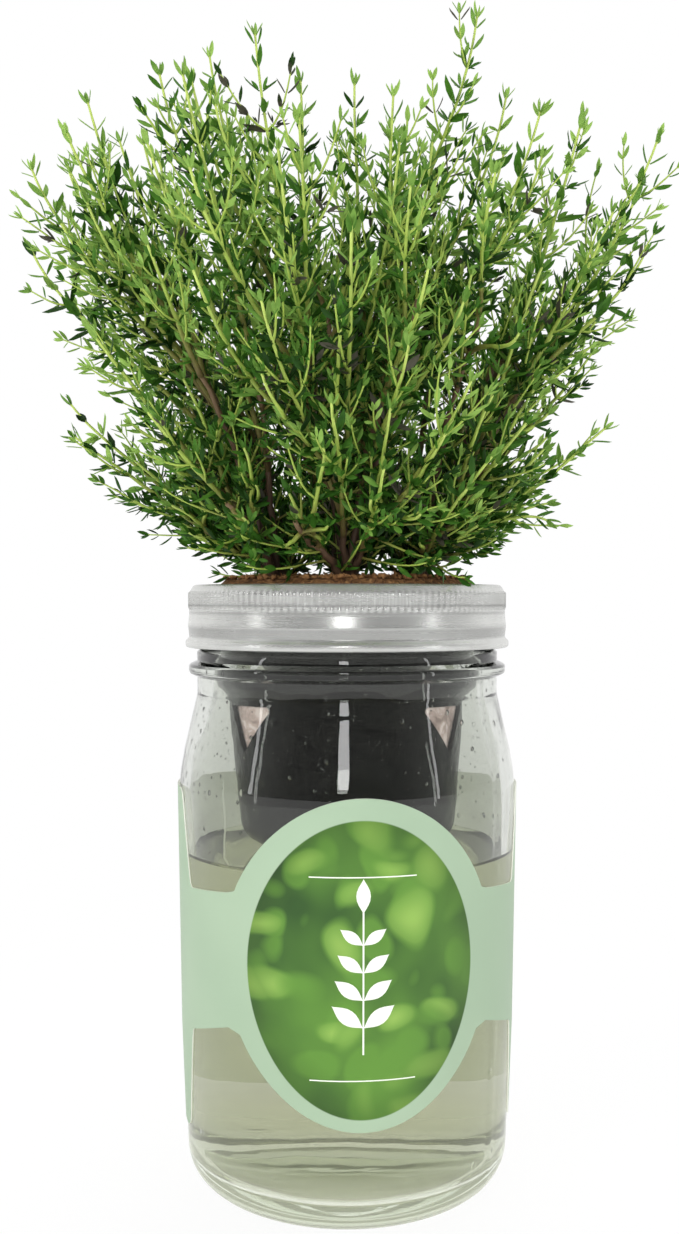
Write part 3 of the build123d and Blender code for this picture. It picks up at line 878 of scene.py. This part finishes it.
thyme = {
    "seed": 23,
    "soil": 174.6,
    "ringRadius": 20.0,
    "ringPlants": 6,
    "sprigs": 185,
    "leafLength": 7.3,
    "pairGap": 5.4,
    "lowShoots": 9,
    "duskyShare": 0.03,  # leaves that have turned purplish
    "suckers": 7,
    "widestLean": 84,
    "centreLean": 27,
    # lean from upright in degrees, - to the left, and how far the clump reaches there in mm
    "outline": [(-90, 46), (-72, 68), (-61, 88), (-50, 114), (-42, 135), (-34, 148), (-26, 152), (-14, 152),
                (-5, 140), (3, 132), (8, 128), (14, 140), (20, 148), (30, 150), (36, 156), (43, 119), (52, 100),
                (60, 80), (72, 62), (90, 44)],
    # tips of the sprigs that stand out: across, deep, up from the soil, and how much they turn up
    "leaders": [
        (35.5, -4, 153, 0.6), (-38.5, 5, 146, 0.6), (-24.6, -12, 145, 0.6), (-13, 4, 139, 0.6), (2, -10, 133, 0.6),
        (-71.5, -2, 131, 0.6), (-58, 10, 124, 0.6), (-79.5, 8, 117, 0.6), (-85, -12, 110, 0.6), (-88.5, 0, 92, 0.5),
        (45, 8, 136, 0.6), (64, -8, 125, 0.6), (87, 2, 123, 0.6), (84, 14, 112, 0.6), (81.5, -10, 89, 0.5),
        (74, 6, 79, 0.5), (72, -6, 42, 0.2), (64, 10, 35, 0.0), (55, -14, 16, -0.5), (58, 6, 22, -0.2),
        (-79, 4, 50, 0.4), (-75, -10, 39, 0.2), (-63, 6, 23, 0.1), (-48, -16, 20, 0.0), (60, -2, 58, 0.4),
        (36, -14, 9, -0.2), (45, -10, 15, 0.0), (17, 6, 129, 0.6), (-50, -14, 134, 0.6), (52, -16, 112, 0.5),
        (-68, -24, 98, 0.5), (70, -22, 96, 0.5),
    ],
    # lean and turn of each woody stem in degrees
    "middleStems": [(5, 20), (13, 200), (16, 80), (17, 320), (22, 140), (22, 260)],
    "ringStems": [(32, -16), (40, 14), (52, -5), (64, 20), (30, 26), (68, -22)],
    # step and start of the even spread of the other sprigs' lean, turn and length
    "spreading": [(0.7548776662, 0.5), (0.5698402910, 0.5), (0.6180339887, 0)],
    # tone and colour, with the dusky leaves first
    "leafColours": [(0.0, tint(78, 76, 64)), (0.06, tint(26, 50, 16)), (0.36, tint(38, 76, 20)),
                    (0.62, tint(72, 120, 38)), (0.95, tint(148, 184, 90))],
    "woodColours": [(0.0, tint(58, 42, 32)), (0.3, tint(98, 74, 54)), (0.6, tint(122, 104, 72))],
    "sprigColours": [(0.05, tint(84, 60, 40)), (0.35, tint(112, 112, 50)), (0.7, tint(152, 176, 72)),
                     (1.0, tint(182, 202, 102))],
}
upward = np.array((0.0, 0.0, 1.0))
root = upward * thyme["soil"]
crowns = [root]
for n in range(thyme["ringPlants"]):
    angle = math.radians((n + 0.5) * 360 / thyme["ringPlants"])
    crowns.append(root + thyme["ringRadius"] * np.array((math.cos(angle), math.sin(angle), 0)))
rng = np.random.default_rng(thyme["seed"])


def unit(v):
    return v / max(np.linalg.norm(v), 1e-9)


def heading(lean, azimuth):
    lean, azimuth = math.radians(lean), math.radians(azimuth)
    return np.array((math.sin(lean) * math.cos(azimuth), math.sin(lean) * math.sin(azimuth), math.cos(lean)))


def reachOf(lean, azimuth):
    leans, reaches = zip(*thyme["outline"])
    across = math.cos(math.radians(azimuth))
    seen = np.interp(math.copysign(lean, across), leans, reaches)
    middle = (np.interp(lean, leans, reaches) + np.interp(-lean, leans, reaches)) / 2
    return middle + (seen - middle) * abs(across)


def plantOf(lean, azimuth):
    return 0 if lean < thyme["centreLean"] else 1 + int(azimuth % 360 / 360 * thyme["ringPlants"])


def bezier(points, count):
    t = np.linspace(0, 1, count)[:, None]
    a, b, c, d = points
    return a * (1 - t) ** 3 + 3 * b * t * (1 - t) ** 2 + 3 * c * t ** 2 * (1 - t) + d * t ** 3


class Growth:  # what one plant has grown so far
    def __init__(self):
        self.tubes, self.leaves, self.trunks = {"wood": [], "green": []}, [], []


plants = [Growth() for crown in crowns]
for number, (plant, crown) in enumerate(zip(plants, crowns)):  # woody stems
    middle = (number - 0.5) * 360 / thyme["ringPlants"] if number else 0
    for lean, turned in thyme["ringStems"] if number else thyme["middleStems"]:
        azimuth = middle + turned
        way = heading(lean, azimuth)
        start = crown + np.array((1.6 * math.cos(math.radians(azimuth)), 1.6 * math.sin(math.radians(azimuth)), -2))
        length = 0.5 * reachOf(lean, azimuth) * rng.uniform(0.85, 1.1)
        end = root + way * length + (crown - root) * 0.35
        knee = start + unit(way + upward * 0.7) * length * 0.35
        path = bezier((start, knee, end - way * length * 0.3 + rng.normal(0, 1.5, 3), end), 16)
        path[1:-1] += rng.normal(0, 0.22, (14, 3))
        plant.trunks.append((way, path))
        radii = np.linspace(1.15, 0.6, 16) * rng.uniform(0.85, 1.1)
        plant.tubes["wood"].append((path, radii, np.linspace(0, 0.45, 16)))


def sidewaysOf(tangent, angle):
    guide = upward if abs(tangent[2]) < 0.9 else np.array((1.0, 0.0, 0.0))
    across = unit(np.cross(tangent, guide))
    return across * math.cos(angle) + np.cross(tangent, across) * math.sin(angle)


def addLeaf(plant, spot, tangent, side, spread, length, tone):
    along = unit(tangent * math.cos(spread) + side * math.sin(spread))
    up = unit(tangent * math.sin(spread) - side * math.cos(spread))
    across = np.cross(along, up)
    twist = rng.normal(0, 0.3)
    across, up = across * math.cos(twist) + up * math.sin(twist), up * math.cos(twist) - across * math.sin(twist)
    width = length * rng.uniform(0.85, 1.2)
    plant.leaves.append((placeAt(spot, along, across, up, (width, length, length)), rng.integers(3), tone))


def addTuft(plant, spot, tangent, side, count, length, tone):
    # the small leaves in a leaf's axil
    axis = unit(tangent * 0.75 + side * 0.65)
    spot = spot + axis * length * 0.15
    for n in range(count):
        turned = sidewaysOf(axis, n * 2.4 + rng.uniform(0, 1))
        addLeaf(plant, spot, axis, turned, rng.uniform(0.25, 0.75), length * rng.uniform(0.55, 0.9), tone)


def dressStem(plant, path, bareLength, leafLength, gap, tone, shoots, isTwig=False):
    # pairs of leaves up a stem, each a quarter turn from the last
    ways = np.concatenate(([0], np.cumsum(np.linalg.norm(np.diff(path, axis=0), axis=1))))
    total = ways[-1]

    def pointAt(way):
        return np.array([np.interp(way, ways, path[:, k]) for k in range(3)])

    at, turn = bareLength, rng.uniform(0, math.pi)
    while at < total - 1:
        here = pointAt(at)
        tangent = unit(pointAt(min(at + 2, total)) - pointAt(max(at - 2, 0)))
        share, left = at / total, total - at
        young = min(1.0, left / 22)
        size = leafLength * (0.62 + 0.38 * young) * (0.75 if share < 0.3 else 1) * rng.uniform(0.85, 1.12)
        spread = math.radians(32 + 30 * young + rng.normal(0, 7))
        shade = min(1.0, max(0.0, tone + 0.25 * (1 - young) + rng.normal(0, 0.17)))
        shade = -0.2 if rng.uniform() < thyme["duskyShare"] else shade
        for flip in (0, math.pi):
            side = sidewaysOf(tangent, turn + flip)
            addLeaf(plant, here + side * 0.35, tangent, side, spread, size, shade)
            if left <= 9:
                continue
            if shoots > 0 and 0.16 < share < 0.86 and rng.uniform() < shoots:
                length = rng.uniform(9, 30) * min(1.0, 0.45 + left / 90)
                aim = unit(tangent * rng.uniform(0.9, 1.5) + side + upward * 0.25)
                end = here + aim * length + upward * 0.06 * length
                twig = bezier((here, here + unit(tangent * 0.5 + side) * length * 0.3,
                               end - unit(aim + tangent * 0.6) * length * 0.3, end), 7)
                plant.tubes["green"].append((twig, np.linspace(0.36, 0.2, 7), np.full(7, 0.75)))
                dressStem(plant, twig, 3.0, leafLength * 0.82, gap * 0.72, shade + 0.05, 0, True)
            else:
                count = int(rng.integers(2, 3 if isTwig else 5))
                addTuft(plant, here + side * 0.3, tangent, side, count, size * 0.68, shade + 0.06)
        turn += math.pi / 2 + rng.normal(0, 0.12)
        at += gap * (1.25 - 0.35 * young) * rng.uniform(0.85, 1.15)
    tangent = unit(path[-1] - path[-2])
    for n in range(4):  # the bud at the tip
        side = sidewaysOf(tangent, turn + n * math.pi / 2)
        spread, size = (0.5, 0.62) if n % 2 else (0.2, 0.45)
        addLeaf(plant, path[-1] - tangent * 0.4, tangent, side, spread, leafLength * size, min(1.0, tone + 0.35))


def growTwig(plant, start, aim, length, tone):
    end = start + aim * length + upward * 0.12 * length
    twig = bezier((start, start + aim * length * 0.35, end - unit(aim + upward * 0.5) * length * 0.3, end), 8)
    plant.tubes["green"].append((twig, np.linspace(0.4, 0.22, 8), np.linspace(0.3, 0.8, 8)))
    dressStem(plant, twig, 2.5, thyme["leafLength"] * 0.85, thyme["pairGap"] * 0.8, tone, 0, True)


def growSprig(tip, turnUp):
    way = tip - root
    lean = math.degrees(math.atan2(math.hypot(way[0], way[1]), way[2]))
    azimuth = math.degrees(math.atan2(way[1], way[0]))
    plant = plants[plantOf(lean, azimuth)]
    trunk = max(plant.trunks, key=lambda trunk: float(trunk[0] @ unit(way)) + rng.uniform(0, 0.04))[1]
    place = int(rng.integers(5, 15))
    start = trunk[place]
    tangent = unit(trunk[place + 1] - trunk[place - 1])
    length = np.linalg.norm(tip - start)
    ending = unit(unit(way) * (1 - abs(turnUp) * 0.6) + upward * turnUp)
    bend = unit(tangent + unit(tip - start)) * length * 0.35
    path = bezier((start, start + bend, tip - ending * length * 0.35, tip), 22)
    path[2:-2] += np.cumsum(rng.normal(0, 0.10, (18, 3)), axis=0) * np.sin(np.linspace(0, math.pi, 18))[:, None]
    plant.tubes["green"].append((path, np.linspace(0.85, 0.34, 22), np.linspace(0.12, 1.0, 22)))
    tone = 0.2 + 0.42 * min(1.0, np.linalg.norm(way) / 165) + rng.normal(0, 0.09)
    dressStem(plant, path, 0.14 * length, thyme["leafLength"], thyme["pairGap"], tone, 0.34)


for plant in plants:
    for way, path in plant.trunks:
        for n in range(thyme["lowShoots"]):
            place = int(rng.integers(2, 14))
            tangent = unit(path[place + 1] - path[place - 1])
            side = sidewaysOf(tangent, rng.uniform(0, 2 * math.pi))
            aim = unit(side + tangent * rng.uniform(0.2, 1.0) + upward * 0.2)
            growTwig(plant, path[place], aim, rng.uniform(9, 24), 0.2)
for plant, crown in zip(plants, crowns):
    for n in range(thyme["suckers"]):  # short shoots from the crown itself
        way = heading(rng.uniform(8, 62), n * 137.5 + rng.uniform(0, 40))
        growTwig(plant, crown + way * 2, way, rng.uniform(16, 38), 0.15)
for across, deep, up, turnUp in thyme["leaders"]:
    growSprig(root + np.array((across, deep, up)), turnUp)
leastCosine = math.cos(math.radians(thyme["widestLean"]))
for n in range(thyme["sprigs"]):
    leanShare, turnShare, lengthShare = [(n * step + first) % 1 for step, first in thyme["spreading"]]
    lean = math.degrees(math.acos(1 - leanShare * (1 - leastCosine)))
    azimuth = 360 * turnShare
    reach = reachOf(lean, azimuth) * (0.56 + 0.36 * lengthShare ** 0.8)
    growSprig(root + upward * 4 + heading(lean, azimuth) * reach, 0.55 * (1 - lean / 110))


def leafShape(curl):
    # a narrow leaf along Y, folded a little at its midrib
    leaf = addPrimitive("grid", x_subdivisions=2, y_subdivisions=4, size=1)
    rows = ((0, 0.03), (0.24, 0.118), (0.52, 0.145), (0.8, 0.095), (1, 0.01))  # way up and half width
    for vert in leaf.data.vertices:
        row, column = round((vert.co.y + 0.5) * 4), round(vert.co.x * 2)
        up, halfWidth = rows[row]
        vert.co = (column * halfWidth, up, -0.055 * abs(column) * (1 if row < 4 else 0) - curl * up * up)
    return leaf


def tubeMesh(name, tubes, sides):
    verts, faces, ages, count = [], [], [], 0
    for path, radii, age in tubes:
        steps = np.gradient(path, axis=0)
        steps /= np.linalg.norm(steps, axis=1)[:, None]
        across = sidewaysOf(steps[0], 0)
        for k, (spot, step, radius) in enumerate(zip(path, steps, radii)):
            across = unit(across - step * (across @ step))
            other = np.cross(step, across)
            for s in range(sides):
                angle = 2 * math.pi * s / sides
                verts.append(spot + (across * math.cos(angle) + other * math.sin(angle)) * radius)
                ages.append(age[k])
                if k:
                    t = (s + 1) % sides
                    faces.append((count + s - sides, count + t - sides, count + t, count + s))
            count += sides
        faces.append(tuple(range(count - sides, count)))
        faces.append(tuple(reversed(range(count - sides * len(path), count - sides * (len(path) - 1)))))
    return meshPiece(name, verts, faces, ages)


def toneOf(tree):
    return addNode(tree, "Attribute", {"attribute_name": "tone"}).outputs["Fac"]


def leafMaterial():
    material, tree, shader = newMaterial("thymeLeaf", Roughness=0.5, IOR=1.4, Specular_IOR_Level=0.35)
    coords = placedCoords(tree)
    patch = addMath(tree, "MULTIPLY", addNoise(tree, coords, 260, 2), 0.3)
    mixed = addMath(tree, "ADD", patch, addMath(tree, "SUBTRACT", toneOf(tree), 0.15))
    colour = addRamp(tree, mixed, thyme["leafColours"])
    setSockets(shader, Base_Color=colour, Normal=addBump(tree, addNoise(tree, coords, 1400, 2), 0.05, 0.3))
    letLightThrough(tree, shader.outputs[0], colour, 0.2)
    return material


def stemMaterial(name, colours):
    material, tree, shader = newMaterial(name, Roughness=0.6)
    bark = addNoise(tree, placedCoords(tree, (900, 900, 220)), 1.0, 4, 0.65)
    patch = addMath(tree, "MULTIPLY", addMath(tree, "SUBTRACT", bark, 0.5), 0.35)
    setSockets(shader, Base_Color=addRamp(tree, addMath(tree, "ADD", toneOf(tree), patch), colours),
               Normal=addBump(tree, bark, 0.3, 0.6))
    return material


leafShapes = [leafShape(curl) for curl in (0.02, 0.12, -0.1)]
leafGreen = leafMaterial()
woodBark = stemMaterial("thymeBark", thyme["woodColours"])
sprigBark = stemMaterial("thymeStem", thyme["sprigColours"])
for number, (plant, crown) in enumerate(zip(plants, crowns), 1):
    wood = tubeMesh(f"thyme_{number}_wood", plant.tubes["wood"], 8)
    knot = addPrimitive("ico_sphere", subdivisions=3, radius=3.3 * mm, location=tuple(crown * mm))
    bpy.ops.object.transform_apply()
    startEdit()
    bpy.ops.transform.resize(value=(1, 1, 0.85), center_override=tuple(crown * mm))
    endEdit()
    roughen(knot, [(2.2, 2.0)])
    knot.data.shade_smooth()
    finishPiece(joinPieces(wood, knot), "insert", woodBark, [f"thyme_{number}_stems"])
    foliage = copiesOf(f"thyme_{number}_foliage", leafShapes, plant.leaves)
    stems = tubeMesh("stems", plant.tubes["green"], 6)
    foliage.data.materials.append(leafGreen)
    stems.data.materials.append(sprigBark)
    finishPiece(joinPieces(foliage, stems), "insert", None, [f"thyme_{number}_leaves"])
dropShapes(*leafShapes)
print("thyme done,", sum(len(plant.leaves) for plant in plants), "leaves")

# floor, light and camera

studio = {
    "floorSize": 8.0,
    "floorGlow": 0.9,  # how much the floor by the jar glows of itself, so that its shadow stays soft
    "floorShadow": (0.07, 0.3),  # from where to where that rises to 1
    "lightWorld": 0.55,
    "frontWorld": 0.06,  # how bright the room behind the camera is, as gloss shows it
    "clearRoom": 0.12,  # how much of that darkness is lost through glass
    "lamps": [  # name, place, aim, width, height, power, whether gloss shows it
        ("keyLamp", (-0.8, -0.85, 0.5), (0, 0, 0.15), 0.7, 0.6, 8.0, False),
        ("fillLamp", (0.9, -0.8, 0.34), (0, 0, 0.15), 0.7, 0.5, 5.2, False),
        ("frontLamp", (-0.05, -1.15, 0.42), (0, 0, 0.14), 0.13, 0.3, 1.1, True),
        ("leftStrip", (-1.0, -0.45, 0.4), (0, 0, 0.12), 0.05, 0.6, 0.5, True),
        ("rightStrip", (1.0, -0.55, 0.35), (0, 0, 0.12), 0.04, 0.6, 0.4, True),
        ("topLamp", (0.1, 0.25, 1.15), (0, 0, 0.2), 0.7, 0.7, 4.2, False),
        ("backLamp", (0.1, 1.3, 0.4), (0, 0, 0.12), 0.9, 0.7, 7.0, False),
    ],
    "cameraPlace": (0, -0.380, 0.1696),
    "cameraTilt": 85,
    "lens": 1322 / 1234 * 36,
    "shift": (-0.0061, 0.0778),
}


def seenDirectly(tree):
    rays = addNode(tree, "LightPath").outputs
    seen = addMath(tree, "MAXIMUM", rays["Is Camera Ray"], rays["Is Glossy Ray"])
    return addMath(tree, "MAXIMUM", seen, rays["Is Transmission Ray"])


floor = addPrimitive("plane", size=studio["floorSize"])
floor.name = "floor"
floorPaint, tree, shader = newMaterial("paleFloor", Base_Color=tint(250, 250, 250), Roughness=0.9)
glow = addNode(tree, "Emission", Color=grey(1), Strength=1.0)
glowShare = addRange(tree, addLength(tree, placedCoords(tree)), *studio["floorShadow"], studio["floorGlow"], 1.0)
glowing = addMath(tree, "MULTIPLY", seenDirectly(tree), glowShare)
showSurface(tree, mixShaders(tree, glowing, shader.outputs[0], glow.outputs[0]))
floor.data.materials.append(floorPaint)

world = bpy.data.worlds.new("studio")
bpy.context.scene.world = world
world.use_nodes = True
tree = world.node_tree
light = setSockets(tree.nodes["Background"], Color=grey(1), Strength=studio["lightWorld"])
deep = addAxis(tree, addNode(tree, "TexCoord").outputs["Generated"], "Y")
room = addRamp(tree, addMath(tree, "MULTIPLY_ADD", deep, 0.5, 0.5),
               [(0.12, grey(studio["frontWorld"])), (0.4, grey(0.42)), (0.72, grey(1))])
rays = addNode(tree, "LightPath").outputs
paler = addMath(tree, "MULTIPLY", rays["Is Transmission Ray"], studio["clearRoom"])
white = addMath(tree, "MAXIMUM", rays["Is Camera Ray"], paler)
backdrop = addNode(tree, "Background", Color=mixColours(tree, white, room, grey(1)), Strength=1.0)
feed(tree.nodes["World Output"].inputs["Surface"],
     mixShaders(tree, seenDirectly(tree), light.outputs[0], backdrop.outputs[0]))

for name, place, aim, width, height, power, inGloss in studio["lamps"]:
    lampData = bpy.data.lights.new(name, "AREA")
    lampData.shape = "RECTANGLE"
    lampData.size, lampData.size_y, lampData.energy = width, height, power
    lamp = addObject(name, lampData)
    lamp.location = place
    lamp.visible_glossy = lamp.visible_transmission = inGloss
    lamp.rotation_euler = (Vector(aim) - Vector(place)).to_track_quat("-Z", "Y").to_euler()

cameraData = bpy.data.cameras.new("camera")
cameraData.lens = studio["lens"]
cameraData.sensor_width = 36
cameraData.shift_x, cameraData.shift_y = studio["shift"]
cameraData.clip_start = 0.01
camera = addObject("camera", cameraData)
camera.location = studio["cameraPlace"]
camera.rotation_euler = (math.radians(studio["cameraTilt"]), 0, 0)
bpy.context.scene.camera = camera
bpy.context.scene.view_settings.view_transform = "Standard"
print("studio done")
